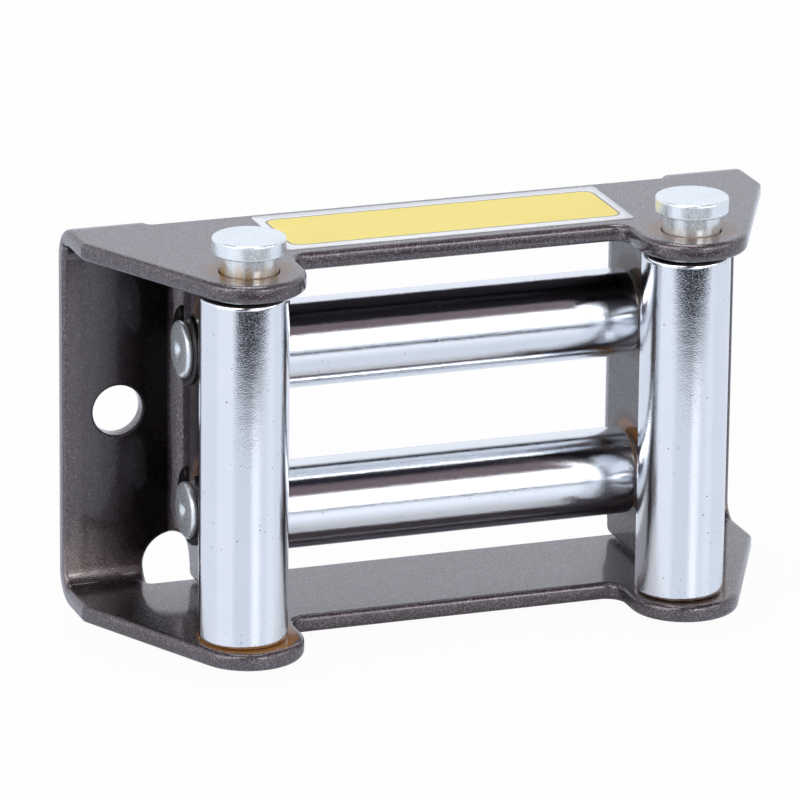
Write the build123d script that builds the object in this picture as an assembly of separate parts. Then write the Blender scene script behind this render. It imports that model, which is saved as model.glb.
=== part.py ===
from build123d import *
import math
import os

# Roller fairlead for a small winch: four loose tube rollers around a rope opening, carried by
# headed pins in one folded sheet bracket. The origin is midway between the two mounting holes
# on the bracket's back face, +Z is up, and the rollers stand forward of it, towards -Y.

os.makedirs("parts", exist_ok=True)

# Sheet of the bracket
sheet = 3.7
fold_inside = 3.3

# Mounting holes in the back wings, and the wings around them
bolt_spacing = 124.0
bolt_hole = 10.7
bolt_margin = 11.75
height = 81.0

# Flanges: straight side edges, the ears for the upright pins, and the front edge between them
side_depth = 16.5
side_corner = 1.5
ear_radius = 11.5
ear_setback = 7.6
throat_round = 3.5

# Side tabs, folded forward from the sides of the window
window_width = 88.6
tab_clearance = 1.9
tab_round = 6.0
tab_heel_round = 1.8
tab_gap = 0.6

# Relief slots that let the tabs and the flanges fold apart
relief_width = 13.2
relief_height = 12.9
relief_lap = 5.2
relief_corner = 1.0
neutral_share = 0.44
relief_sections = 9
pick_slack = 0.05

# Upright and level roller axes
upright_spacing = 94.6
upright_depth = 44.0
level_spacing = 34.6
level_depth = 19.7

# Rollers: drawn tube, loose on the pins
roller_diameter = 18.2
roller_bore = 14.0
roller_chamfer = 0.8
end_play = 1.0
level_end_play = 2.0
contact_gap = 0.15

# Pins and their heads
pin_diameter = 11.8
pin_clearance = 0.2
head_diameter = 15.0
head_height = 3.25
head_chamfer = 0.45
pin_play = 4.0
lower_pin_slip = 1.1
land = 1.4
land_chamfer = 0.8
seat_gap = 0.1

# Retaining clips of spring steel in the pins' grooves
clip_diameter = 16.3
clip_thickness = 1.0
clip_opening = 6.5
clip_pocket = 11.6
clip_pocket_width = 4.0
clip_drop = 0.8
groove_diameter = 8.0
groove_clearance = 0.05

# Faces and folds that follow from the sizes above
fold_outside = fold_inside + sheet
half_width = bolt_spacing / 2 + bolt_margin
half_height = height / 2
tab_inner = window_width / 2
tab_outer = tab_inner + sheet
tab_depth = upright_depth - roller_diameter / 2 - tab_clearance
fold_start = tab_inner + fold_outside
tab_half = half_height - sheet - tab_gap
relief_side = fold_start + relief_lap
relief_radius = relief_width / 2
relief_centre = half_height - relief_height + relief_radius
ear_x = upright_spacing / 2
level_z = level_spacing / 2
hang = (roller_bore - pin_diameter) / 2 - contact_gap
pin_hole = pin_diameter + 2 * pin_clearance
front_depth = upright_depth - ear_setback
reach = upright_depth + ear_radius
neutral_radius = fold_inside + neutral_share * sheet
fold_length = neutral_radius * math.pi / 2
relief_offset = relief_radius - relief_lap
tab_relief_y = fold_length - relief_offset - fold_outside
relief_front = relief_radius - tab_relief_y


def both_sides(shape):
    """The shape and its mirror image across the plane x = 0."""
    return shape + mirror(shape, Plane.YZ)


def top_and_bottom(shape):
    """The shape and its mirror image across the plane z = 0."""
    return shape + mirror(shape, Plane.XY)


def all_quarters(sketch):
    """A sketch with its mirror images across both of its axes."""
    half = sketch + mirror(sketch, Plane.YZ)
    return half + mirror(half, Plane.XZ)


def plan_outline():
    """Outline of a flange seen from above, with an ear for each upright pin."""
    to_ear = Vector(ear_x - half_width, side_depth - upright_depth)
    turn = math.asin(ear_radius / to_ear.length)
    slope = math.atan2(to_ear.Y, to_ear.X) + turn
    tangent = Vector(half_width, -side_depth) + Vector(math.cos(slope), math.sin(slope)) * (
        math.sqrt(to_ear.length ** 2 - ear_radius ** 2)
    )
    throat_x = ear_x - ear_radius
    ear_tip = Vector(ear_x, -reach)
    edges = Polyline((0, 0), (half_width, 0), (half_width, -side_depth), tangent)
    edges += ThreePointArc(tangent, ear_tip, (throat_x, -upright_depth))
    edges += Polyline((throat_x, -upright_depth), (throat_x, -front_depth), (0, -front_depth), (0, 0))
    outline = both_sides(make_face(edges))
    throats = outline.vertices().filter_by(
        lambda v: abs(v.Y + front_depth) < pick_slack and abs(v.X) > pick_slack)
    outline = fillet(throats, throat_round)
    corners = outline.vertices().filter_by(lambda v: abs(v.Y + side_depth) < pick_slack)
    return fillet(corners, side_corner)


def folded_shell():
    """Back sheet with the top and bottom flanges folded forward, cut to the plan outline."""
    depth = 2 * (reach + fold_outside)
    ring = RectangleRounded(depth, height, fold_outside)
    ring -= RectangleRounded(depth - 2 * sheet, height - 2 * sheet, fold_inside)
    shell = extrude(Plane.YZ * Pos(-depth / 2, 0) * ring, half_width, both=True)
    return shell & extrude(plan_outline(), half_height, both=True)


def window_cut():
    """Opening between the tabs, with the relief slots' share that lies in the back sheet."""
    profile = Rectangle(2 * fold_start, 2 * height)
    profile += all_quarters(
        Pos(relief_side - relief_radius, relief_centre) * Circle(relief_radius)
        + Pos(0, relief_centre) * Rectangle(relief_side, height, align=(Align.MIN, Align.MIN))
    )
    cut = extrude(Plane.XZ * profile, fold_outside)
    corners = cut.edges().filter_by(Axis.Z).filter_by(
        lambda e: abs(abs(e.center().X) - relief_side) < pick_slack
        and abs(e.center().Y + fold_outside) < pick_slack
    )
    return fillet(corners, relief_corner)


def relief_reach(along):
    """Half height that the relief leaves of a tab, at a distance along the fold from its start."""
    return relief_centre - math.sqrt(relief_radius ** 2 - (along - relief_offset) ** 2)


def fold_relief():
    """Relief slot's share in a tab's fold: radial sections around the fold, joined smoothly."""
    first = math.asin(-relief_offset / relief_radius)
    last = math.asin((fold_length - relief_offset) / relief_radius)
    sections = []
    for step in range(relief_sections):
        sweep = first + (last - first) * step / (relief_sections - 1)
        along = relief_offset + relief_radius * math.sin(sweep)
        angle = along / neutral_radius
        outward = Vector(-math.sin(angle), math.cos(angle), 0)
        plane = Plane((fold_start, -fold_outside, relief_reach(along)), x_dir=outward, z_dir=(
            -math.cos(angle), -math.sin(angle), 0))
        strip = Pos(fold_inside + sheet / 2, 0) * Rectangle(2 * sheet, height, align=(Align.CENTER, Align.MAX))
        sections.append(plane * strip)
    return loft(sections)


def side_tab():
    """Right side tab with its fold, ready to join the wing at the start of the fold."""
    depth = 2 * (tab_depth + fold_outside)
    ring = RectangleRounded(depth, depth, fold_outside)
    ring -= RectangleRounded(depth - 2 * sheet, depth - 2 * sheet, fold_inside)
    section = Pos(tab_inner + depth / 2, -depth / 2) * ring
    section &= Pos(tab_inner, 0) * Rectangle(fold_outside, tab_depth, align=(Align.MIN, Align.MAX))
    tab = extrude(section, tab_half, both=True)
    front = tab.edges().filter_by(Axis.X).group_by(Axis.Y)[0]
    tab = fillet(front, tab_round)
    slot = Pos(tab_relief_y, relief_centre) * Circle(relief_radius)
    slot += Pos(tab_relief_y, relief_centre) * Rectangle(
        2 * relief_radius, height, align=(Align.CENTER, Align.MIN))
    heel = min(tab_heel_round, tab_half - relief_centre)
    slot += Pos(-relief_front, tab_half) * (
        Rectangle(heel, height, align=(Align.MAX, Align.MIN))
        + Rectangle(heel, heel, align=Align.MAX) - Pos(-heel, -heel) * Circle(heel))
    slot &= Pos(-fold_outside, 0) * Rectangle(tab_depth, height, align=(Align.MAX, Align.MIN))
    cutter = extrude(Plane.YZ.offset(tab_inner) * slot, sheet)
    return tab - top_and_bottom(cutter) - top_and_bottom(fold_relief())


def make_bracket():
    """Bracket folded from one sheet, with its pin holes and mounting holes."""
    bracket = folded_shell() - window_cut() + both_sides(side_tab())
    bracket -= both_sides(Pos(ear_x, -upright_depth) * Cylinder(pin_hole / 2, 2 * height))
    level_hole = Pos(0, -level_depth, level_z) * Rot(0, 90, 0) * Cylinder(pin_hole / 2, 2 * fold_start)
    bracket -= top_and_bottom(level_hole)
    return bracket - both_sides(Pos(bolt_spacing / 2, 0) * Rot(90, 0, 0) * Cylinder(bolt_hole / 2, 3 * sheet))


def make_roller(length):
    """Tube roller standing on z = 0, with its outer edges broken."""
    tube = extrude(Circle(roller_diameter / 2) - Circle(roller_bore / 2), length)
    rims = tube.edges().filter_by(GeomType.CIRCLE)
    return chamfer(rims.filter_by(lambda e: e.radius > roller_bore / 2 + contact_gap), roller_chamfer)


def make_pin(grip):
    """Headed pin hanging down from the underside of its head at z = 0, grooved past its grip."""
    shank = pin_diameter / 2
    head = head_diameter / 2
    groove = groove_diameter / 2
    clip_side = -grip - clip_thickness - 2 * groove_clearance
    end = clip_side - land
    profile = Polyline(
        (0, head_height), (head - head_chamfer, head_height), (head, head_height - head_chamfer),
        (head, 0), (shank, 0), (shank, -grip), (groove, -grip), (groove, clip_side), (shank, clip_side),
        (shank, end + land_chamfer), (shank - land_chamfer, end), (0, end), close=True)
    return revolve(Plane.XZ * make_face(profile), Axis.Z)


def make_clip(grip):
    """E-shaped clip in the groove of a pin, below its grip, open towards -Y."""
    groove = groove_diameter / 2 + groove_clearance
    ring = Pos(0, -clip_drop) * Circle(clip_diameter / 2)
    pockets = Circle(clip_pocket / 2) & (
        Rot(0, 0, 45) * Rectangle(clip_pocket, clip_pocket_width)
        + Rot(0, 0, -45) * Rectangle(clip_pocket, clip_pocket_width))
    mouth = Rectangle(clip_opening, clip_diameter, align=(Align.CENTER, Align.MAX))
    ring -= Circle(groove) + pockets + mouth
    return Pos(0, 0, -grip - clip_thickness - groove_clearance) * extrude(ring, clip_thickness)


def export_pin(name, place, span):
    """Write a pin and its clip, set at the place of the head's underside."""
    grip = span + pin_play
    export_step(place * make_pin(grip), f"parts/pin_{name}.step")
    export_step(place * make_clip(grip), f"parts/clip_{name}.step")


export_step(make_bracket(), "parts/bracket.step")

upright_length = height - 2 * sheet - end_play
roller_floor = -half_height + sheet + contact_gap
for name, side in (("left", -1), ("right", 1)):
    roller = make_roller(upright_length)
    export_step(Pos(side * ear_x - hang, -upright_depth, roller_floor) * roller, f"parts/roller_{name}.step")
    head_seat = half_height + pin_play - seat_gap
    export_pin(name, Pos(side * ear_x, -upright_depth, head_seat), height)

level_length = window_width - level_end_play
for name, side, slip in (("upper", 1, 0), ("lower", -1, lower_pin_slip)):
    lay = Rot(0, 90, 0)
    roller = make_roller(level_length)
    place = Pos(-level_length / 2, -level_depth, side * level_z - hang)
    export_step(place * lay * roller, f"parts/roller_{name}.step")
    head_seat = tab_outer + seat_gap + slip
    turn = Rot(0, 0, -90)
    export_pin(name, Pos(head_seat, -level_depth, side * level_z) * lay * turn, 2 * tab_outer)
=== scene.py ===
import bpy
import bmesh
import math
from mathutils import Matrix, Vector


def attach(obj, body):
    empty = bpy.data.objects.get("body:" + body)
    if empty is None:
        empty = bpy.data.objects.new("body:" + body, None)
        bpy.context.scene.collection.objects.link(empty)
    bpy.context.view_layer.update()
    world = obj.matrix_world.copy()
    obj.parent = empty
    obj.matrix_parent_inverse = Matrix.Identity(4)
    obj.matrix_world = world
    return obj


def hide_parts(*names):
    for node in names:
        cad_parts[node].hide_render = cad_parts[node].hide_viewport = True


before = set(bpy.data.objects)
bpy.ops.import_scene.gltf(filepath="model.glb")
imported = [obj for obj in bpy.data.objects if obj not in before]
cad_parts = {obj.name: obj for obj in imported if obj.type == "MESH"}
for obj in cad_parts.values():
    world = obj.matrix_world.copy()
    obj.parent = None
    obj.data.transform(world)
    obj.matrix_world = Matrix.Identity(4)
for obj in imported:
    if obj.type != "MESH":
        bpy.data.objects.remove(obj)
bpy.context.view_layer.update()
scene = bpy.context.scene
scene.view_settings.view_transform = "Standard"


# The photographer's place: a long lens in front, to the left of the fairlead and above it,
# with the frame turned by a hair.
PAN = math.radians(-19.685)
TILT = math.radians(18.127)
ROLL = math.radians(0.638)
LENS = 329.84
FILM_WIDTH = 36
SIGHT_LIMIT = 20
STATION = (-0.48814, -1.36620, 0.46995)

sight = Vector((
    -math.sin(PAN) * math.cos(TILT), math.cos(PAN) * math.cos(TILT), -math.sin(TILT)))
horizon = Vector((math.cos(PAN), math.sin(PAN), 0))
right = math.cos(ROLL) * horizon + math.sin(ROLL) * horizon.cross(sight)
up = right.cross(sight)
bearing = Matrix((right, up, -sight)).transposed().to_4x4()
camera = bpy.data.objects.new("camera", bpy.data.cameras.new("camera"))
camera.data.lens = LENS
camera.data.sensor_width = FILM_WIDTH
camera.data.clip_end = SIGHT_LIMIT
camera.matrix_world = Matrix.Translation(STATION) @ bearing
scene.collection.objects.link(camera)
scene.camera = camera


# Product table: a pale polished floor in a white surround. The chrome mirrors a light panel in
# front with a brown-grey wall and a dark ceiling above it, a dark corner with a lamp beside it,
# a softbox on the left, a weaker light on the right, and a dark gap where the table ends.
FLOOR_LEVEL = -0.0432
FLOOR_REACH = 3.0
FLOOR_TONE = (0.84, 0.85, 0.87, 1)
FLOOR_ROUGHNESS = 0.9
FLOOR_SEEN = 0.97
FLOOR_WHITE = (0.994, 0.994, 0.994, 1)
FLOOR_IN_GLOSS = (0.76, 0.81, 0.91, 1)
FLOOR_POLISH = 0.07
POLISH_ROUGHNESS = 0.04
# Where a painted shadow lies on the floor under the fairlead, as reflections see it
SHADE_AT = (0, -0.02, 0)
SHADE_SHAPE = (1, 2, 0)
SHADE_REACH = (0.06, 0.10)
SHADE_LEFT = 0.06
# In degrees: a rise is between two elevations, and a light or dark patch has its pan, its tilt,
# and where its soft edge starts and ends
PANEL_TONE = (1.8, 1.8, 1.83, 1)
WALL_TONE = (0.17, 0.13, 0.145, 1)
WALL_RISE = (31, 36)
CEILING_TONE = (0.020, 0.020, 0.030, 1)
CEILING_RISE = (56, 59)
BACK_TONE = (0.89, 0.92, 1.0, 1)
BACK_RISE = (42, 50)
FRONT_TO_BACK = (-0.15, 0.15)
CORNER_TONE = (0.10, 0.10, 0.13, 1)
CORNER_AT = (-24, 18, 18, 27)
LAMP_TONE = (5.4, 5.4, 5.5, 1)
LAMP_AT = (13, 18, 5, 12)
SIDE_TONE = (0.70, 0.70, 0.74, 1)
SIDE_AT = (75, 10, 32, 54)
SOFTBOX_TONE = (2.4, 2.4, 2.5, 1)
SOFTBOX_AT = (-66, 18, 16, 26)
GAP_TONE = (0.010, 0.009, 0.016, 1)
GAP_SIZE = (0.56, 0.21)
GAP_AT = (0.03, -0.315)
GAP_LIFT = 0.001
GAP_TURN = math.radians(-4)
GAP_FADE = ((0.23, 0.28), (0.045, 0.105))


def material(name):
    """A new node material, with its tree and its Principled BSDF."""
    made = bpy.data.materials.new(name)
    made.use_nodes = True
    return made, made.node_tree, made.node_tree.nodes["Principled BSDF"]


def fill(tree, socket, value):
    """Sets a socket to a value, or links it to the output of another node."""
    if isinstance(value, bpy.types.NodeSocket):
        tree.links.new(value, socket)
    else:
        socket.default_value = value


def wire(tree, kind, inputs=(), outlet=0, **settings):
    """Adds a shader node, sets it and fills its inputs, and returns one of its outputs."""
    made = tree.nodes.new("ShaderNode" + kind)
    for name, value in settings.items():
        setattr(made, name, value)
    for place, value in inputs.items() if isinstance(inputs, dict) else enumerate(inputs):
        fill(tree, made.inputs[place], value)
    return made.outputs[outlet]


def axes(tree, vector):
    """The three coordinates of a vector."""
    made = tree.nodes.new("ShaderNodeSeparateXYZ")
    tree.links.new(vector, made.inputs[0])
    return made.outputs


def times(tree, *values):
    """The product of two or more values."""
    product = values[0]
    for value in values[1:]:
        product = wire(tree, "Math", (product, value), operation="MULTIPLY")
    return product


def rise(tree, value, start, end, smooth=False, low=0.0, high=1.0):
    """Goes from low to high while a value goes from start to end, and is level beyond them."""
    return wire(tree, "MapRange", {
        "Value": value, "From Min": start, "From Max": end, "To Min": low, "To Max": high},
        interpolation_type="SMOOTHSTEP" if smooth else "LINEAR")


def fall(tree, value, start, end, smooth=False):
    """Goes from 1 to 0 while a value goes from start to end."""
    return rise(tree, value, start, end, smooth, 1.0, 0.0)


def blend(tree, share, first, second):
    """Mixes two colours by a share, on the colour sockets of a Mix node."""
    made = tree.nodes.new("ShaderNodeMix")
    made.data_type = "RGBA"
    for place, value in ((0, share), (6, first), (7, second)):
        fill(tree, made.inputs[place], value)
    return made.outputs[2]


def seen_directly(tree):
    """Marks the glossy rays, and the rays that look straight or through glass at the studio."""
    rays = tree.nodes.new("ShaderNodeLightPath")
    return rays.outputs["Is Glossy Ray"], wire(tree, "Math", (
        rays.outputs["Is Camera Ray"], rays.outputs["Is Transmission Ray"]), operation="MAXIMUM")


def climb(tree, height, start, end):
    """Rises from 0 to 1 between two elevations in degrees, given an elevation's sine."""
    return rise(tree, height, math.sin(math.radians(start)), math.sin(math.radians(end)))


def towards(tree, heading, pan, tilt, inner, outer):
    """Rises from 0 to 1 as a direction comes near the one at a pan and tilt, in degrees."""
    pan, tilt = math.radians(pan), math.radians(tilt)
    aim = (math.sin(pan) * math.cos(tilt), -math.cos(pan) * math.cos(tilt), math.sin(tilt))
    near = wire(tree, "VectorMath", (heading, aim), outlet="Value", operation="DOT_PRODUCT")
    return rise(
        tree, near, math.cos(math.radians(outer)), math.cos(math.radians(inner)), smooth=True)


def card(name, finish, size, place, turn=0):
    """A flat rectangle of the studio, which isn't part of the fairlead."""
    sheet = bmesh.new()
    bmesh.ops.create_grid(sheet, x_segments=1, y_segments=1, size=0.5)
    bmesh.ops.scale(sheet, vec=(*size, 1), verts=sheet.verts)
    mesh = bpy.data.meshes.new(name)
    sheet.to_mesh(mesh)
    sheet.free()
    mesh.materials.append(finish)
    made = bpy.data.objects.new(name, mesh)
    made.location = place
    made.rotation_euler = (0, 0, turn)
    scene.collection.objects.link(made)
    return made


world = bpy.data.worlds.new("surround")
world.use_nodes = True
scene.world = world
tree = world.node_tree
heading = wire(tree, "TexCoord", outlet="Generated")
_, depth, height = axes(tree, heading)
ahead = blend(tree, towards(tree, heading, *CORNER_AT), PANEL_TONE, CORNER_TONE)
ahead = blend(tree, towards(tree, heading, *LAMP_AT), ahead, LAMP_TONE)
ahead = blend(tree, climb(tree, height, *WALL_RISE), ahead, WALL_TONE)
ahead = blend(tree, climb(tree, height, *CEILING_RISE), ahead, CEILING_TONE)
behind = blend(tree, climb(tree, height, *BACK_RISE), BACK_TONE, CEILING_TONE)
around = blend(tree, rise(tree, depth, *FRONT_TO_BACK), ahead, behind)
around = blend(tree, towards(tree, heading, *SIDE_AT), around, SIDE_TONE)
around = blend(tree, towards(tree, heading, *SOFTBOX_AT), around, SOFTBOX_TONE)
surround = wire(tree, "Background", (around, 1.0))
white = wire(tree, "Background", ((1, 1, 1, 1), 1.0))
_, directly = seen_directly(tree)
choice = wire(tree, "MixShader", (directly, surround, white))
tree.links.new(choice, tree.nodes["World Output"].inputs["Surface"])

floor_finish, tree, shader = material("floor")
shader.inputs["Base Color"].default_value = FLOOR_TONE
shader.inputs["Roughness"].default_value = FLOOR_ROUGHNESS
shader.inputs["Specular IOR Level"].default_value = 0.0
in_gloss, directly = seen_directly(tree)
where = wire(tree, "TexCoord", outlet="Object")
# Painted shadow: in reflections the floor's glow fades out under the fairlead down to a small
# share, and the lit floor shows there with its real shadows
off = wire(tree, "VectorMath", (where, SHADE_AT), operation="SUBTRACT")
off = wire(tree, "VectorMath", (off, SHADE_SHAPE), operation="MULTIPLY")
away = wire(tree, "VectorMath", (off,), outlet="Value", operation="LENGTH")
unshaded_table = rise(tree, away, *SHADE_REACH, smooth=True, low=SHADE_LEFT)
share = wire(tree, "Math", (
    directly, FLOOR_SEEN, times(tree, in_gloss, unshaded_table)), operation="MULTIPLY_ADD")
lit = wire(tree, "Emission", (blend(tree, in_gloss, FLOOR_WHITE, FLOOR_IN_GLOSS), 1.0))
polish = wire(tree, "BsdfGlossy", {"Roughness": POLISH_ROUGHNESS})
lit = wire(tree, "MixShader", (times(tree, in_gloss, FLOOR_POLISH), lit, polish))
choice = wire(tree, "MixShader", (share, shader.outputs[0], lit))
tree.links.new(choice, tree.nodes["Material Output"].inputs["Surface"])
card("floor", floor_finish, (2 * FLOOR_REACH, 2 * FLOOR_REACH), (0, 0, FLOOR_LEVEL))

gap_finish, tree, _ = material("table_gap")
place = axes(tree, wire(tree, "TexCoord", outlet="Object"))
edges = [
    fall(tree, wire(tree, "Math", (place[axis],), operation="ABSOLUTE"), *fade, smooth=True)
    for axis, fade in enumerate(GAP_FADE)
]
lit = wire(tree, "Emission", (GAP_TONE, 1.0))
clear = wire(tree, "BsdfTransparent", ((1, 1, 1, 1),))
choice = wire(tree, "MixShader", (times(tree, *edges), clear, lit))
tree.links.new(choice, tree.nodes["Material Output"].inputs["Surface"])
gap = card("table_gap", gap_finish, GAP_SIZE, (*GAP_AT, FLOOR_LEVEL + GAP_LIFT), GAP_TURN)
for rays in ("camera", "diffuse", "shadow", "transmission"):
    setattr(gap, "visible_" + rays, False)

for name, place, size, watts, tone in (
    ("key", (-0.75, -1.0, 1.0), 0.7, 3.6, (1, 0.99, 0.97)),
    ("fill", (1.0, -0.8, 0.6), 0.7, 1.8, (0.95, 0.98, 1)),
    ("top", (0.0, 0.15, 1.3), 0.8, 7.5, (0.97, 0.98, 1)),
):
    lamp = bpy.data.objects.new(name, bpy.data.lights.new(name, "AREA"))
    lamp.data.shape = "DISK"
    lamp.data.size = size
    lamp.data.energy = watts
    lamp.data.color = tone
    lamp.location = place
    lamp.rotation_euler = (-Vector(place)).to_track_quat("-Z", "Y").to_euler()
    scene.collection.objects.link(lamp)


# Bracket: one piece of 3.7 mm steel, cut flat with its slots and pin holes, its edges rolled in
# tumbling, then folded forward four times: two side tabs, and two flanges that carry the ears.
# It is painted a near-black brown with metal flake under a clear coat.
MM = 0.001
SAME_POINT = 0.001
ON_PLANE = 0.0001
SHEET = 3.7
FOLD_INSIDE = 3.3
FOLD_OUTSIDE = FOLD_INSIDE + SHEET
EDGE = 1.1
EDGE_STEPS = 6
EDGE_MARGIN = 0.2
HOLE_ROUND = 0.35
HOLE_STEPS = 3
HOLE_SEGMENTS = 72
HALF_WIDTH = 73.75
HALF_HEIGHT = 40.5
FOLD_START = 51.3
TAB_DEPTH = 33.0
TAB_HALF = 36.2
TAB_ROUND = 6.0
HEEL = 1.8
RELIEF = 6.6
RELIEF_AT = (49.9, 34.2)
RELIEF_CORNER = 1.0
FRONT_DEPTH = 36.4
THROAT = 3.5
SIDE_DEPTH = 16.5
SIDE_CORNER = 1.5
EAR = 11.5
EAR_AT = (47.3, 44.0)
PIN_HOLE = 6.1
LEVEL_PIN_AT = (19.7, 17.3)
BOLT_HOLE = 5.35
BOLT_AT = 62.0
NEUTRAL_SHARE = 0.44
NEUTRAL = FOLD_INSIDE + NEUTRAL_SHARE * SHEET
FOLD_LENGTH = NEUTRAL * math.pi / 2
FOLD_STEPS = 12
FOLD_MARGIN = 0.4
SKIN = 0.02 * EDGE


def scribe(sheet, start, moves):
    """Draws an outline: each move goes straight to a point, or by degrees round a centre."""
    first = last = sheet.verts.new((*start, 0))
    for x, y, degrees in moves:
        if degrees:
            reach = (last.co - Vector((x, y, 0))).length
            steps = max(3, round(abs(degrees) / 90 * (6 + 2.5 * math.sqrt(reach))))
            swept = bmesh.ops.spin(
                sheet, geom=[last], cent=(x, y, 0), axis=(0, 0, 1),
                angle=math.radians(degrees), steps=steps, use_duplicate=False)
            last = [v for v in swept["geom_last"] if isinstance(v, bmesh.types.BMVert)][0]
        else:
            point = sheet.verts.new((x, y, 0))
            sheet.edges.new((last, point))
            last = point
    return first, last


def punch(sheet, centre, radius):
    """The wall of a round hole with rounded rims, before the sheet's faces are filled in."""
    rings = []
    for side in (1, -1):
        swings = [math.pi / 2 * step / HOLE_STEPS for step in range(HOLE_STEPS + 1)]
        rim = [
            (HOLE_ROUND * (1 - math.sin(swing)), HOLE_ROUND * (1 - math.cos(swing)))
            for swing in swings
        ]
        rim.insert(0, (HOLE_ROUND + EDGE_MARGIN, 0))
        for wide, deep in rim[::side]:
            made = bmesh.ops.create_circle(
                sheet, segments=HOLE_SEGMENTS, radius=radius + wide,
                matrix=Matrix.Translation((*centre, side * (SHEET / 2 - deep))))
            rings.append(list({e for v in made["verts"] for e in v.link_edges}))
    for upper, lower in zip(rings, rings[1:]):
        bmesh.ops.bridge_loops(sheet, edges=upper + lower)


def thicken(sheet, thickness, edge, steps, margin):
    """Gives a flat blank its thickness, with both rims of every edge rolled to a radius."""
    plain = sheet.faces[:]
    raised = bmesh.ops.extrude_face_region(sheet, geom=plain, use_keep_orig=True)["geom"]
    wall = thickness - 2 * edge
    bmesh.ops.translate(
        sheet, vec=(0, 0, wall), verts=[v for v in raised if isinstance(v, bmesh.types.BMVert)])
    bmesh.ops.translate(sheet, vec=(0, 0, -wall / 2), verts=sheet.verts)
    bmesh.ops.recalc_face_normals(sheet, faces=sheet.faces)
    caps = [f for f in sheet.faces if abs(f.normal.z) > 0.5]
    across = down = 0
    for step in range(1, steps + 1):
        swing = math.pi / 2 * step / steps
        bmesh.ops.inset_region(
            sheet, faces=caps, use_boundary=True, use_even_offset=True,
            thickness=edge * (1 - math.cos(swing)) - across, depth=edge * math.sin(swing) - down)
        across, down = edge * (1 - math.cos(swing)), edge * math.sin(swing)
    bmesh.ops.inset_region(
        sheet, faces=caps, use_boundary=True, use_even_offset=True, thickness=margin)
    return caps


def finished(name, sheet, node, body, finish):
    """Turns a bmesh in millimetres into a piece, which may stand for a CAD node."""
    bmesh.ops.scale(sheet, vec=(MM, MM, MM), verts=sheet.verts)
    for face in sheet.faces:
        face.smooth = True
    mesh = bpy.data.meshes.new(name)
    sheet.to_mesh(mesh)
    sheet.free()
    mesh.materials.append(finish)
    piece = bpy.data.objects.new(name, mesh)
    scene.collection.objects.link(piece)
    if node:
        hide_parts(node)
    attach(piece, body)
    return piece


flat_edge = HALF_HEIGHT - FOLD_OUTSIDE + FOLD_LENGTH
front_edge = flat_edge + FRONT_DEPTH - FOLD_OUTSIDE
side_edge = flat_edge + SIDE_DEPTH - FOLD_OUTSIDE
ear = (EAR_AT[0], flat_edge + EAR_AT[1] - FOLD_OUTSIDE)
tab_front = FOLD_START - FOLD_LENGTH - TAB_DEPTH + FOLD_OUTSIDE
tab_pin = FOLD_START - FOLD_LENGTH - LEVEL_PIN_AT[0] + FOLD_OUTSIDE
throat = ear[0] - EAR
run = Vector((ear[0] - HALF_WIDTH, ear[1] - side_edge))
lean = math.degrees(math.atan2(run.y, run.x) - math.asin(EAR / run.length)) - 90
ease = SIDE_CORNER * math.tan(math.radians(lean) / 2)
ease_x, ease_y = ease * math.sin(math.radians(lean)), ease * math.cos(math.radians(lean))

# A quarter of the flat blank, mirrored twice
blank = bmesh.new()
scribe(blank, (tab_front, 0), (
    (tab_front, TAB_HALF - TAB_ROUND, 0),
    (tab_front + TAB_ROUND, TAB_HALF - TAB_ROUND, -90),
    (RELIEF_AT[0] - RELIEF - HEEL, TAB_HALF, 0),
    (RELIEF_AT[0] - RELIEF - HEEL, TAB_HALF - HEEL, -90),
    (RELIEF_AT[0] - RELIEF, RELIEF_AT[1], 0),
    (*RELIEF_AT, 180),
    (RELIEF_AT[0] + RELIEF, flat_edge - RELIEF_CORNER, 0),
    (RELIEF_AT[0] + RELIEF - RELIEF_CORNER, flat_edge - RELIEF_CORNER, 90),
    (0, flat_edge, 0),
    (0, front_edge, 0),
    (throat - THROAT, front_edge, 0),
    (throat - THROAT, front_edge + THROAT, 90),
    (throat, ear[1], 0),
    (*ear, lean - 180),
    (HALF_WIDTH - ease_x, side_edge + ease_y, 0),
    (HALF_WIDTH - SIDE_CORNER, side_edge - ease, -lean),
    (HALF_WIDTH, 0, 0),
    (tab_front, 0, 0),
))
bmesh.ops.remove_doubles(blank, verts=blank.verts, dist=SAME_POINT)
bmesh.ops.triangle_fill(blank, use_beauty=True, use_dissolve=False, edges=blank.edges)
for axis in ("X", "Y"):
    everything = blank.verts[:] + blank.edges[:] + blank.faces[:]
    bmesh.ops.mirror(blank, geom=everything, merge_dist=SAME_POINT, axis=axis)
caps = thicken(blank, SHEET, EDGE, EDGE_STEPS, EDGE_MARGIN)
bmesh.ops.delete(blank, geom=caps, context="FACES")
for side in (1, -1):
    punch(blank, (side * BOLT_AT, 0), BOLT_HOLE)
    for half in (1, -1):
        punch(blank, (side * ear[0], half * ear[1]), PIN_HOLE)
        punch(blank, (side * tab_pin, half * LEVEL_PIN_AT[1]), PIN_HOLE)
for side in (1, -1):
    rims = [e for e in blank.edges if e.is_boundary and e.verts[0].co.z * side > 0]
    bmesh.ops.triangle_fill(blank, use_beauty=True, normal=(0, 0, side), edges=rims)
bmesh.ops.recalc_face_normals(blank, faces=blank.faces)

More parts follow.
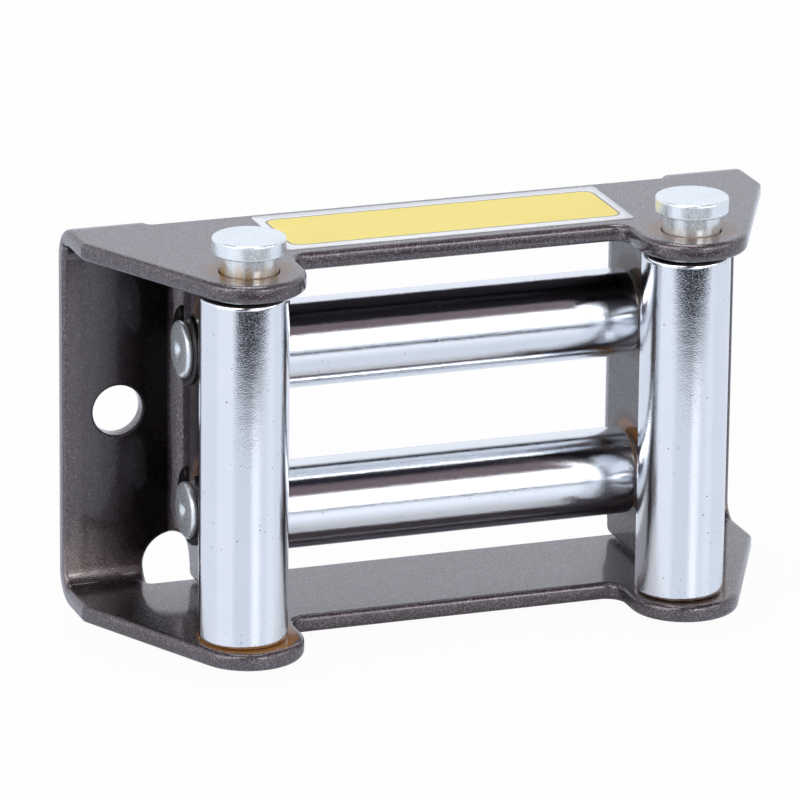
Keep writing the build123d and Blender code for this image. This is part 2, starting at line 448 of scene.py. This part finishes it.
# Cuts across the folds, so that the sheet can bend there
creases = [
    -FOLD_MARGIN, *(FOLD_LENGTH * step / FOLD_STEPS for step in range(FOLD_STEPS + 1)),
    FOLD_LENGTH + FOLD_MARGIN]
for crease in creases:
    for place, across in (
        ((FOLD_START - crease, 0, 0), (1, 0, 0)), ((crease - FOLD_START, 0, 0), (1, 0, 0)),
        ((0, HALF_HEIGHT - FOLD_OUTSIDE + crease, 0), (0, 1, 0)),
        ((0, FOLD_OUTSIDE - HALF_HEIGHT - crease, 0), (0, 1, 0)),
    ):
        for_tabs = across[0] == 1
        span = [
            f for f in blank.faces
            if not for_tabs or abs(f.calc_center_median().y) < RELIEF_AT[1] + RELIEF
        ]
        geom = set(span)
        for face in span:
            geom.update(face.verts, face.edges)
        bmesh.ops.bisect_plane(
            blank, geom=list(geom), dist=ON_PLANE, plane_co=place, plane_no=across)

# The fold itself: what lies beyond a fold's start swings round its centre, and then runs forward
rim = blank.verts.layers.float.new("rim")
for vert in blank.verts:
    u, v, deep = abs(vert.co.x), abs(vert.co.y), SHEET / 2 - vert.co.z
    vert[rim] = 1.0 if SKIN < deep < SHEET - SKIN else 0.0
    in_flange = v > HALF_HEIGHT - FOLD_OUTSIDE and (u > FOLD_START or v > RELIEF_AT[1] + RELIEF)
    along = v - HALF_HEIGHT + FOLD_OUTSIDE if in_flange else FOLD_START - u
    swung = min(max(along, 0), FOLD_LENGTH) / NEUTRAL
    beyond = max(along - FOLD_LENGTH, 0)
    arm = FOLD_OUTSIDE - deep
    if along <= 0:
        x, y, z = u, -deep, v
    elif in_flange:
        x = u
        y = arm * math.cos(swung) - FOLD_OUTSIDE - beyond
        z = HALF_HEIGHT - FOLD_OUTSIDE + arm * math.sin(swung)
    else:
        x = FOLD_START - arm * math.sin(swung)
        y = arm * math.cos(swung) - FOLD_OUTSIDE - beyond
        z = v
    vert.co = (math.copysign(x, vert.co.x), y, math.copysign(z, vert.co.y))
bmesh.ops.recalc_face_normals(blank, faces=blank.faces)


def group(name, inputs, outputs):
    """A new node group with named sockets, with what its inputs and outputs connect to."""
    tree = bpy.data.node_groups.new(name, "ShaderNodeTree")
    for label, kind, value in inputs:
        socket = tree.interface.new_socket(
            label, in_out="INPUT", socket_type="NodeSocket" + kind)
        socket.default_value = value
    for label, kind in outputs:
        tree.interface.new_socket(label, in_out="OUTPUT", socket_type="NodeSocket" + kind)
    return tree, tree.nodes.new("NodeGroupInput").outputs, tree.nodes.new("NodeGroupOutput").inputs


def use(tree, built, **values):
    """Places a node group in a material, with its own values, and returns its outputs."""
    made = tree.nodes.new("ShaderNodeGroup")
    made.node_tree = built
    for label, value in values.items():
        fill(tree, made.inputs[label], value)
    return made.outputs


def stretch(tree, value, low, high):
    """Spreads a value between 0 and 1 over the range from low to high."""
    return rise(tree, value, 0.0, 1.0, low=low, high=high)


def graded(tree, value, slope, base, clamp=False):
    """A base that grows with a value."""
    return wire(tree, "Math", (value, slope, base), operation="MULTIPLY_ADD", use_clamp=clamp)


def over(tree, value, limit):
    """One where a value is above a limit."""
    return wire(tree, "Math", (value, limit), operation="GREATER_THAN")


def under(tree, value, limit):
    """One where a value is below a limit."""
    return wire(tree, "Math", (value, limit), operation="LESS_THAN")


def either(tree, first, second):
    """The larger of two masks."""
    return wire(tree, "Math", (first, second), operation="MAXIMUM")


def cover(tree, tone, colour, mask, share):
    """Lays a colour over a tone where a mask is, up to a share of the colour."""
    return blend(tree, times(tree, mask, share), tone, colour)


# Fine flecks, as of metal flake or plating pits: a mask, and a normal that is tipped per fleck
flecks, get, put = group("flecks", (
    ("Vector", "Vector", (0, 0, 0)), ("Scale", "Float", 3000.0), ("Amount", "Float", 0.3),
    ("Tilt", "Float", 0.0)), (("Mask", "Float"), ("Normal", "Vector")))
cells = wire(flecks, "TexVoronoi", {
    "Vector": get["Vector"], "Scale": get["Scale"]}, outlet="Color")
start = wire(flecks, "Math", (1.0, get["Amount"]), operation="SUBTRACT")
flecks.links.new(
    rise(flecks, wire(flecks, "SeparateColor", (cells,)), start, 1.0), put["Mask"])
tipped = wire(flecks, "VectorMath", (cells, (0.5, 0.5, 0.5)), operation="SUBTRACT")
tipped = wire(flecks, "VectorMath", {0: tipped, "Scale": get["Tilt"]}, operation="SCALE")
plain = wire(flecks, "NewGeometry", outlet="Normal")
tipped = wire(flecks, "VectorMath", (tipped, plain), operation="ADD")
tipped = wire(flecks, "VectorMath", (tipped,), operation="NORMALIZE")
flecks.links.new(tipped, put["Normal"])

# Slow unevenness over the surface, from 0 to 1
cloud, get, put = group("cloud", (
    ("Vector", "Vector", (0, 0, 0)), ("Scale", "Float", 60.0), ("Detail", "Float", 3.0),
    ("Contrast", "Float", 1.0)), (("Value", "Float"),))
noise = wire(cloud, "TexNoise", {
    "Vector": get["Vector"], "Scale": get["Scale"], "Detail": get["Detail"], "Roughness": 0.6})
centred = wire(cloud, "Math", (noise, 0.5), operation="SUBTRACT")
stretched = graded(cloud, centred, slope=get["Contrast"], base=0.5, clamp=True)
cloud.links.new(stretched, put["Value"])

# Stain that creeps out raggedly round a pin: strong up to the radius, gone beyond the spread
stain, get, put = group("stain", (
    ("Vector", "Vector", (0, 0, 0)), ("Centre", "Vector", (0, 0, 0)),
    ("Plane", "Vector", (1, 1, 1)), ("Radius", "Float", 0.006), ("Spread", "Float", 0.003)),
    (("Mask", "Float"),))
off = wire(stain, "VectorMath", (get["Vector"], get["Centre"]), operation="SUBTRACT")
off = wire(stain, "VectorMath", (off, get["Plane"]), operation="MULTIPLY")
away = wire(stain, "VectorMath", (off,), outlet="Value", operation="LENGTH")
ragged = wire(stain, "TexNoise", {"Vector": get["Vector"], "Scale": 700.0, "Detail": 4.0})
away = wire(stain, "Math", (away, times(stain, ragged, get["Spread"])), operation="SUBTRACT")
limit = wire(stain, "Math", (get["Radius"], get["Spread"]), operation="ADD")
stain.links.new(fall(stain, away, get["Radius"], limit, smooth=True), put["Mask"])

PAINT = (0.092, 0.069, 0.073, 1)
PAINT_DEEP = (0.056, 0.040, 0.042, 1)
PAINT_FLAKE = (0.41, 0.38, 0.43, 1)
# The next three tones are painted: shade in the back plate's recesses, shade on the tabs' inner
# faces, and light low on the plate's front
PAINT_SHADE = (0.003, 0.002, 0.003, 1)
PAINT_INSIDE_SHADE = (0.010, 0.008, 0.009, 1)
PAINT_BROWN_GLOW = (0.80, 0.60, 0.52, 1)
RUST = (0.22, 0.095, 0.022, 1)
FOOT_RUST = (0.40, 0.17, 0.028, 1)
TAB_RUST = (0.24, 0.092, 0.014, 1)
PLATE_FRONT = -SHEET * MM
FLANGE_INSIDE = (HALF_HEIGHT - SHEET) * MM
TAB_INSIDE = (FOLD_START - FOLD_OUTSIDE) * MM
TAB_OUTSIDE = TAB_INSIDE + SHEET * MM
TAB_FROM = -0.0075
WATER = (-0.03, 0.03)
WATER_BOTTOM = (-FLANGE_INSIDE - 0.0012, -FLANGE_INSIDE - 0.0002)
WATER_TOP = -0.0300
PLATE_DEPTH = (PLATE_FRONT - 0.0023, PLATE_FRONT - 0.0008)
# Where the painted shade fades in and out (the next two), and where the painted lighter brown does
# (the two after)
WING_SHADE = (0.0560, 0.0690)
FOOT_SHADE = (-0.0355, -0.0300)
GLOW_TOP = (-0.0340, -0.0220)
GLOW_FOOT = (-0.0368, -0.0345)

paint, tree, shader = material("painted_steel")
where = wire(tree, "TexCoord", outlet="Object")
x, y, z = axes(tree, where)
wide, _, high = axes(tree, wire(tree, "VectorMath", (where,), operation="ABSOLUTE"))
folded = wire(tree, "CombineXYZ", (wide, y, high))

# Metal flake, coarser on the cut edges
grains = use(tree, flecks, Vector=where, Scale=6500.0, Amount=0.35, Tilt=0.35)
cut_edge = wire(tree, "Attribute", outlet="Fac", attribute_name="rim")
amount = graded(tree, cut_edge, slope=0.05, base=0.04)
coarse = use(tree, flecks, Vector=where, Scale=4600.0, Amount=amount)["Mask"]
drift = use(tree, cloud, Vector=where, Scale=55.0, Detail=4.0, Contrast=1.6)["Value"]
tone = blend(tree, drift, PAINT_DEEP, PAINT)
tone = cover(tree, tone, PAINT_FLAKE, grains["Mask"], share=0.55)
tone = cover(tree, tone, PAINT_FLAKE, coarse, share=0.5)

# Rust round the pin holes, stronger at the left foot, where water stays on the bottom flange
ear_centre = (EAR_AT[0] * MM, -EAR_AT[1] * MM, 0)
tab_centre = (0, -LEVEL_PIN_AT[0] * MM, LEVEL_PIN_AT[1] * MM)
ear_stain = use(
    tree, stain, Vector=folded, Centre=ear_centre, Plane=(1, 1, 0), Radius=0.0062,
    Spread=0.0026)["Mask"]
foot_stain = use(
    tree, stain, Vector=folded, Centre=ear_centre, Plane=(1, 1, 0), Radius=0.0090,
    Spread=0.0013)["Mask"]
tab_stain = use(
    tree, stain, Vector=folded, Centre=tab_centre, Plane=(0, 1, 1), Radius=0.0088,
    Spread=0.0022)["Mask"]
tab_ring = use(
    tree, stain, Vector=folded, Centre=tab_centre, Plane=(0, 1, 1), Radius=0.0084,
    Spread=0.0011)["Mask"]
on_tab = under(tree, wide, TAB_OUTSIDE + 0.0010)
on_top = over(tree, z, FLANGE_INSIDE - 0.0004)
stained = either(tree, times(tree, ear_stain, on_top), times(tree, tab_stain, on_tab))
tone = cover(tree, tone, RUST, stained, share=0.7)
on_foot = times(tree, rise(tree, z, *WATER_BOTTOM), under(tree, z, WATER_TOP))
wetter = rise(tree, x, *WATER, low=1.0, high=0.25)
foot_stain = times(tree, foot_stain, on_foot, wetter)
tone = cover(tree, tone, FOOT_RUST, foot_stain, share=0.9)

# Painted shade: the back plate is darkened beside the folds and under the top flange, where the
# rollers, tabs and flanges shade it
on_plate = rise(tree, y, *PLATE_DEPTH)
in_front = under(tree, y, PLATE_FRONT + 0.0007)
by_fold = fall(tree, wide, *WING_SHADE, smooth=True)
flat_wing = rise(tree, wide, FOLD_START * MM - 0.0005, FOLD_START * MM + 0.0003)
above_foot = rise(tree, z, *FOOT_SHADE)
below_top = fall(tree, z, FLANGE_INSIDE, FLANGE_INSIDE + 0.0004)
under_top_shade = times(tree, over(tree, z, FLANGE_INSIDE - 0.0006), below_top)
painted_shade = times(tree, on_plate, by_fold, flat_wing, above_foot, below_top)
painted_shade = times(tree, either(tree, painted_shade, under_top_shade), in_front)
# Painted light: the plate's front turns a lighter brown low down, just above the bottom fold
brown_glow = times(
    tree, fall(tree, z, *GLOW_TOP, smooth=True), rise(tree, z, *GLOW_FOOT),
    on_plate, in_front)
tone = cover(tree, tone, PAINT_BROWN_GLOW, brown_glow, share=0.18)
# Painted shade laid over the back plate's recesses
tone = cover(tree, tone, PAINT_SHADE, painted_shade, share=0.88)
# Painted shade on the tabs' inner faces
inside_shade = times(
    tree, under(tree, wide, TAB_INSIDE + 0.0006), under(tree, y, TAB_FROM),
    under(tree, high, TAB_HALF * MM))
tone = cover(tree, tone, PAINT_INSIDE_SHADE, inside_shade, share=0.55)
low_right = times(tree, over(tree, x, 0.0), under(tree, z, 0.0))
tone = cover(tree, tone, TAB_RUST, times(tree, tab_ring, on_tab, low_right), share=0.9)
tree.links.new(tone, shader.inputs["Base Color"])

# Rust is dull, and the clear coat is taken away where shade is painted, so that those places
# reflect less too
rusty = either(tree, stained, foot_stain)
metal = graded(tree, rusty, slope=-0.8, base=1.0)
dull = graded(tree, rusty, slope=0.35, base=stretch(tree, drift, low=0.34, high=0.42))
shade_uncoated = graded(tree, inside_shade, slope=0.4, base=painted_shade, clamp=True)
coat = graded(tree, shade_uncoated, slope=-0.85, base=1.0)
tree.links.new(metal, shader.inputs["Metallic"])
tree.links.new(dull, shader.inputs["Roughness"])
tree.links.new(coat, shader.inputs["Coat Weight"])
shader.inputs["Coat Roughness"].default_value = 0.08
shader.inputs["Coat IOR"].default_value = 1.6
peel = wire(tree, "TexNoise", {"Vector": where, "Scale": 420.0, "Detail": 2.0})
bump = wire(tree, "Bump", {
    "Strength": 1.0, "Distance": 0.00003, "Height": peel, "Normal": grains["Normal"]})
tree.links.new(bump, shader.inputs["Normal"])
finished("bracket_sheet", blank, "bracket", "bracket", paint)


# Sticker on the top flange: white vinyl with a rounded yellow field inside a thin grey line,
# printed in one piece and pressed onto the paint.
STICKER_AT = (1.85, -21.25)
STICKER_SIZE = (74.7, 23.9)
STICKER_THICKNESS = 0.12
STICKER_CORNER = 0.8
FIELD_AT = (1.85, -21.55)
FIELD_SIZE = (71.5, 18.9)
FIELD_CORNER = 2.4
FIELD_LINE = 0.4
VINYL_WHITE = (0.84, 0.86, 0.89, 1)
VINYL_GREY = (0.20, 0.20, 0.21, 1)
VINYL_YELLOW = (0.90, 0.74, 0.15, 1)
VINYL_WEAR = 0.94


def rounded(sheet, centre, size, corner):
    """Draws the outline of a rectangle with rounded corners."""
    x, y = centre[0] - size[0] / 2, centre[1] - size[1] / 2
    far_x, far_y = x + size[0], y + size[1]
    scribe(sheet, (x + corner, y), (
        (far_x - corner, y, 0), (far_x - corner, y + corner, 90),
        (far_x, far_y - corner, 0), (far_x - corner, far_y - corner, 90),
        (x + corner, far_y, 0), (x + corner, far_y - corner, 90),
        (x, y + corner, 0), (x + corner, y + corner, 90)))
    bmesh.ops.remove_doubles(sheet, verts=sheet.verts, dist=SAME_POINT)


def vinyl(name, colour):
    """Printed vinyl, lightly glossy, with faint unevenness from the paint below it."""
    made, tree, shader = material(name)
    where = wire(tree, "TexCoord", outlet="Object")
    patches = use(tree, cloud, Vector=where, Scale=130.0, Detail=4.0, Contrast=1.2)["Value"]
    grain = use(tree, cloud, Vector=where, Scale=2600.0, Detail=2.0, Contrast=1.0)["Value"]
    worn = (*(VINYL_WEAR * channel for channel in colour[:3]), 1)
    bump = wire(tree, "Bump", {"Strength": 1.0, "Distance": 0.000006, "Height": grain})
    tree.links.new(blend(tree, patches, worn, colour), shader.inputs["Base Color"])
    tree.links.new(stretch(tree, patches, low=0.40, high=0.30), shader.inputs["Roughness"])
    tree.links.new(bump, shader.inputs["Normal"])
    return made


sticker = bmesh.new()
rounded(sticker, STICKER_AT, STICKER_SIZE, STICKER_CORNER)
border = sticker.edges[:]
rounded(sticker, FIELD_AT, FIELD_SIZE, FIELD_CORNER)
field = [e for e in sticker.edges if e not in border]
bmesh.ops.triangle_fill(sticker, use_beauty=True, edges=sticker.edges)
centre = bmesh.ops.contextual_create(sticker, geom=field)["faces"]
for face in centre:
    face.material_index = 2
line = bmesh.ops.inset_region(
    sticker, faces=centre, use_boundary=True, use_even_offset=True, thickness=FIELD_LINE)["faces"]
for face in line:
    face.material_index = 1
bmesh.ops.recalc_face_normals(sticker, faces=sticker.faces)
if sum(f.normal.z * f.calc_area() for f in sticker.faces) < 0:
    bmesh.ops.reverse_faces(sticker, faces=sticker.faces)
bmesh.ops.translate(
    sticker, vec=(0, 0, HALF_HEIGHT + STICKER_THICKNESS), verts=sticker.verts)
piece = finished("sticker", sticker, None, "bracket", vinyl("vinyl_white", VINYL_WHITE))
piece.data.materials.append(vinyl("vinyl_grey", VINYL_GREY))
piece.data.materials.append(vinyl("vinyl_yellow", VINYL_YELLOW))
solid = piece.modifiers.new("vinyl", "SOLIDIFY")
solid.thickness = STICKER_THICKNESS * MM
solid.offset = -1


# Rollers: four lengths of drawn steel tube, cut square, their ends rounded, then chrome plated.
# Each hangs loose on its pin, so the bore rests on the pin on one side. The plating has a faint
# orange peel, and pits at the ends.
ROLLER = 9.1
ROLLER_STEPS = 160
BORE = 7.0
ROLLER_ROUND = 1.0
ROLLER_ROUND_STEPS = 6
BORE_ROUND = 0.3
BORE_ROUND_STEPS = 2
UPRIGHT_LENGTH = 72.6
LEVEL_LENGTH = 86.6
HANG = 0.95
FOOT_PLAY = 0.15
CHROME = (0.89, 0.91, 0.94, 1)
CHROME_HAZY = (0.83, 0.86, 0.90, 1)
CHROME_PIT = (0.10, 0.09, 0.10, 1)
UPRIGHT_WEAR = (0.0325, 0.0360)
LEVEL_WEAR = (0.0395, 0.0430)
LEVEL_WEAR_DEPTH = 0.0300


def turned(profile, steps, rounds):
    """Spins a profile of radius and height about Z, then rounds the named sharp circles."""
    ring = bmesh.new()
    points = [ring.verts.new((radius, 0, height)) for radius, height in profile]
    closed = profile[0][0] > 0
    for here, there in zip(points, points[1:] + points[:1] if closed else points[1:]):
        ring.edges.new((here, there))
    bmesh.ops.spin(
        ring, geom=ring.verts[:] + ring.edges[:], cent=(0, 0, 0), axis=(0, 0, 1),
        angle=2 * math.pi, steps=steps, use_merge=True)
    bmesh.ops.remove_doubles(ring, verts=ring.verts, dist=SAME_POINT)
    bmesh.ops.recalc_face_normals(ring, faces=ring.faces)
    for radius, height, amount, segments in rounds:
        sharp = [
            e for e in ring.edges
            if all(abs(v.co.z - height) < SAME_POINT
                   and abs(v.co.xy.length - radius) < SAME_POINT for v in e.verts)
        ]
        bmesh.ops.bevel(
            ring, geom=sharp, offset=amount, segments=segments, profile=0.5, material=-1,
            affect="EDGES")
    return ring


chrome, tree, shader = material("chrome")
where = wire(tree, "TexCoord", outlet="Object")
wide, deep, high = axes(tree, wire(tree, "VectorMath", (where,), operation="ABSOLUTE"))
upright_end = rise(tree, high, *UPRIGHT_WEAR)
level_end = times(tree, rise(tree, wide, *LEVEL_WEAR), under(tree, deep, LEVEL_WEAR_DEPTH))
amount = graded(tree, either(tree, upright_end, level_end), slope=0.025, base=0.0025)
pits = use(tree, flecks, Vector=where, Scale=3600.0, Amount=amount)["Mask"]
drift = use(tree, cloud, Vector=where, Scale=90.0, Detail=5.0, Contrast=1.4)["Value"]
tone = blend(tree, drift, CHROME_HAZY, CHROME)
tone = cover(tree, tone, CHROME_PIT, pits, share=0.8)
film = graded(tree, pits, slope=0.3, base=stretch(tree, drift, low=0.045, high=0.085))
orange_peel = wire(tree, "TexNoise", {"Vector": where, "Scale": 4200.0, "Detail": 1.0})
waves = wire(tree, "TexNoise", {"Vector": where, "Scale": 300.0, "Detail": 2.0})
skin = graded(tree, waves, slope=1.2, base=orange_peel)
bump = wire(tree, "Bump", {"Strength": 1.0, "Distance": 0.000018, "Height": skin})
tree.links.new(tone, shader.inputs["Base Color"])
shader.inputs["Metallic"].default_value = 1.0
tree.links.new(film, shader.inputs["Roughness"])
tree.links.new(bump, shader.inputs["Normal"])

lay = Matrix.Rotation(math.radians(90), 4, "Y")
foot = -HALF_HEIGHT + SHEET + FOOT_PLAY
for name, length, place, swing in (
    ("left", UPRIGHT_LENGTH, (-EAR_AT[0] - HANG, -EAR_AT[1], foot), Matrix()),
    ("right", UPRIGHT_LENGTH, (EAR_AT[0] - HANG, -EAR_AT[1], foot), Matrix()),
    ("upper", LEVEL_LENGTH, (-LEVEL_LENGTH / 2, -LEVEL_PIN_AT[0], LEVEL_PIN_AT[1] - HANG), lay),
    ("lower", LEVEL_LENGTH, (-LEVEL_LENGTH / 2, -LEVEL_PIN_AT[0], -LEVEL_PIN_AT[1] - HANG), lay),
):
    margin = ROLLER_ROUND + EDGE_MARGIN
    tube = turned((
        (BORE, 0), (ROLLER - margin, 0), (ROLLER, 0), (ROLLER, margin),
        (ROLLER, length - margin), (ROLLER, length), (ROLLER - margin, length),
        (BORE, length)), ROLLER_STEPS, (
        (ROLLER, 0, ROLLER_ROUND, ROLLER_ROUND_STEPS),
        (ROLLER, length, ROLLER_ROUND, ROLLER_ROUND_STEPS),
        (BORE, 0, BORE_ROUND, BORE_ROUND_STEPS), (BORE, length, BORE_ROUND, BORE_ROUND_STEPS)))
    bmesh.ops.transform(tube, matrix=Matrix.Translation(place) @ swing, verts=tube.verts)
    finished("tube_" + name, tube, "roller_" + name, "roller_" + name, chrome)


# Pins: turned steel with a flat round head at one end and a groove for the clip at the other,
# zinc plated, and browned at the upright shanks. The rollers turn on them, and the upright ones
# are pushed up to their clips.
PIN = 5.9
PIN_STEPS = 128
PIN_MARGIN = 0.3
HEAD = 7.5
HEAD_HEIGHT = 3.25
HEAD_ROUND = 0.45
HEAD_ROUND_STEPS = 4
HEAD_UNDER_ROUND = 0.7 * HEAD_ROUND
HEAD_UNDER_ROUND_STEPS = 3
HEAD_MARGIN = 0.15
HEAD_UNDER_MARGIN = 0.1
GROOVE = 4.0
GROOVE_WIDTH = 1.1
LAND = 1.4
LAND_ROUND = 0.8
LAND_ROUND_STEPS = 4
CROWN = 0.25
CROWN_INSIDE = 0.6 * CROWN
DISH = 2.6
DISH_DEPTH = 0.8
DISH_STEPS = 8
UPRIGHT_LAND = 0.6
UPRIGHT_ROUND = 0.4
PIN_PLAY = 4.0
SEAT_GAP = 0.1
SLIP = 1.1
ZINC = (0.90, 0.95, 0.98, 1)
ZINC_DULL = (0.79, 0.86, 0.89, 1)
ZINC_BROWN = (0.52, 0.31, 0.085, 1)
SHANK_BROWN = (0.0395, 0.0445)
SHANK_FROM = 0.0380
LEFT_TO_RIGHT = (-0.02, 0.02)

zinc, tree, shader = material("zinc")
where = wire(tree, "TexCoord", outlet="Object")
x, _, z = axes(tree, where)
crystal = use(tree, flecks, Vector=where, Scale=6800.0, Amount=0.5)["Mask"]
drift = use(tree, cloud, Vector=where, Scale=240.0, Detail=4.0, Contrast=1.8)["Value"]
drawn = wire(tree, "VectorMath", (where, (1, 1, 0.12)), operation="MULTIPLY")
streaks = use(tree, cloud, Vector=drawn, Scale=900.0, Detail=3.0, Contrast=2.4)["Value"]
on_shank = times(tree, fall(tree, z, *SHANK_BROWN), over(tree, z, SHANK_FROM))
on_left = rise(tree, x, *LEFT_TO_RIGHT, low=1.0, high=0.35)
browned = times(tree, on_shank, streaks, on_left)
tone = blend(tree, drift, ZINC_DULL, ZINC)
tone = cover(tree, tone, ZINC_BROWN, browned, share=1.5)
bump = wire(tree, "Bump", {"Strength": 1.0, "Distance": 0.000008, "Height": crystal})
tree.links.new(tone, shader.inputs["Base Color"])
shader.inputs["Metallic"].default_value = 0.7
tree.links.new(stretch(tree, crystal, low=0.18, high=0.28), shader.inputs["Roughness"])
tree.links.new(bump, shader.inputs["Normal"])

upright_seat = HALF_HEIGHT + PIN_PLAY - SEAT_GAP
level_seat = FOLD_START - FOLD_OUTSIDE + SHEET + SEAT_GAP
upright_grip = 2 * HALF_HEIGHT + PIN_PLAY
level_grip = 2 * (level_seat - SEAT_GAP) + PIN_PLAY
sideways = lay @ Matrix.Rotation(math.radians(-90), 4, "Z")
half_turn = Matrix.Rotation(math.radians(180), 4, "Z")
stands = {
    "left": (upright_grip, UPRIGHT_LAND, UPRIGHT_ROUND, Matrix.Translation(
        (-EAR_AT[0], -EAR_AT[1], upright_seat)) @ half_turn),
    "right": (upright_grip, UPRIGHT_LAND, UPRIGHT_ROUND, Matrix.Translation(
        (EAR_AT[0], -EAR_AT[1], upright_seat)) @ half_turn),
    "upper": (level_grip, LAND, LAND_ROUND, Matrix.Translation(
        (level_seat, -LEVEL_PIN_AT[0], LEVEL_PIN_AT[1])) @ sideways),
    "lower": (level_grip, LAND, LAND_ROUND, Matrix.Translation(
        (level_seat + SLIP, -LEVEL_PIN_AT[0], -LEVEL_PIN_AT[1])) @ sideways),
}
for name, (grip, land, land_round, stand) in stands.items():
    groove_end = -grip - GROOVE_WIDTH
    end = groove_end - land
    dish = [
        (DISH * (1 - step / DISH_STEPS),
         end + DISH_DEPTH * (1 - math.cos(math.pi * step / DISH_STEPS)) / 2)
        for step in range(DISH_STEPS + 1)
    ]
    pin = turned((
        (0, HEAD_HEIGHT), (HEAD - HEAD_ROUND - EDGE_MARGIN, HEAD_HEIGHT), (HEAD, HEAD_HEIGHT),
        (HEAD, HEAD_HEIGHT - HEAD_ROUND - HEAD_MARGIN), (HEAD, HEAD_ROUND + HEAD_UNDER_MARGIN),
        (HEAD, 0), (HEAD - HEAD_ROUND - EDGE_MARGIN, 0), (PIN, 0), (PIN, -PIN_MARGIN),
        (PIN, -grip + PIN_MARGIN), (PIN, -grip), (GROOVE, -grip), (GROOVE, groove_end),
        (PIN, groove_end), (PIN, end + CROWN), (PIN - land_round - EDGE_MARGIN, end + CROWN_INSIDE),
        *dish), PIN_STEPS, (
        (HEAD, HEAD_HEIGHT, HEAD_ROUND, HEAD_ROUND_STEPS),
        (HEAD, 0, HEAD_UNDER_ROUND, HEAD_UNDER_ROUND_STEPS),
        (PIN, end + CROWN, land_round - CROWN, LAND_ROUND_STEPS)))
    bmesh.ops.transform(pin, matrix=stand, verts=pin.verts)
    finished("headed_" + name, pin, "pin_" + name, "pin_" + name, zinc)


# Clips: stamped spring steel rings shaped like an E, blackened, snapped into the pins' grooves
# from one side.
CLIP = 8.15
CLIP_THICKNESS = 1.0
CLIP_MOUTH = 3.25
CLIP_POCKET = 5.8
CLIP_POCKET_HALF = 2.0
CLIP_DROP = 0.8
CLIP_HUG = 4.05
CLIP_EDGE = 0.12
CLIP_EDGE_STEPS = 2
CLIP_MARGIN = 0.1
SPRING = (0.035, 0.030, 0.028, 1)
SPRING_DEEP = (0.012, 0.011, 0.012, 1)


def on_circle(radius, degrees):
    """A straight move to a point of a circle round the middle."""
    return radius * math.cos(math.radians(degrees)), radius * math.sin(math.radians(degrees)), 0


spring, tree, shader = material("spring_steel")
where = wire(tree, "TexCoord", outlet="Object")
drift = use(tree, cloud, Vector=where, Scale=500.0, Detail=4.0, Contrast=1.6)["Value"]
tree.links.new(blend(tree, drift, SPRING_DEEP, SPRING), shader.inputs["Base Color"])
shader.inputs["Metallic"].default_value = 0.7
tree.links.new(stretch(tree, drift, low=0.28, high=0.45), shader.inputs["Roughness"])

hug = math.degrees(math.asin(CLIP_POCKET_HALF / CLIP_HUG))
pocket = math.degrees(math.asin(CLIP_POCKET_HALF / CLIP_POCKET))
tip = math.degrees(math.acos(CLIP_MOUTH / CLIP))
corner = -math.degrees(math.acos(CLIP_MOUTH / CLIP_POCKET))
for name, (grip, _, _, stand) in stands.items():
    stamping = bmesh.new()
    first, last = scribe(stamping, (0, CLIP - CLIP_DROP), (
        (0, -CLIP_DROP, -90 - tip),
        on_circle(CLIP_POCKET, corner),
        (0, 0, -45 + pocket - corner),
        on_circle(CLIP_HUG, -45 + hug),
        (0, 0, 90 - 2 * hug),
        on_circle(CLIP_POCKET, 45 - pocket),
        (0, 0, 2 * pocket),
        on_circle(CLIP_HUG, 45 + hug),
        (0, 0, 45 - hug),
    ))
    stamping.edges.new((last, first))
    bmesh.ops.triangle_fill(stamping, use_beauty=True, edges=stamping.edges)
    everything = stamping.verts[:] + stamping.edges[:] + stamping.faces[:]
    bmesh.ops.mirror(stamping, geom=everything, merge_dist=SAME_POINT, axis="X")
    thicken(stamping, CLIP_THICKNESS, CLIP_EDGE, CLIP_EDGE_STEPS, CLIP_MARGIN)
    in_groove = Matrix.Translation((0, 0, -grip - GROOVE_WIDTH / 2))
    bmesh.ops.transform(stamping, matrix=stand @ in_groove, verts=stamping.verts)
    finished("e_clip_" + name, stamping, "clip_" + name, "pin_" + name, spring)
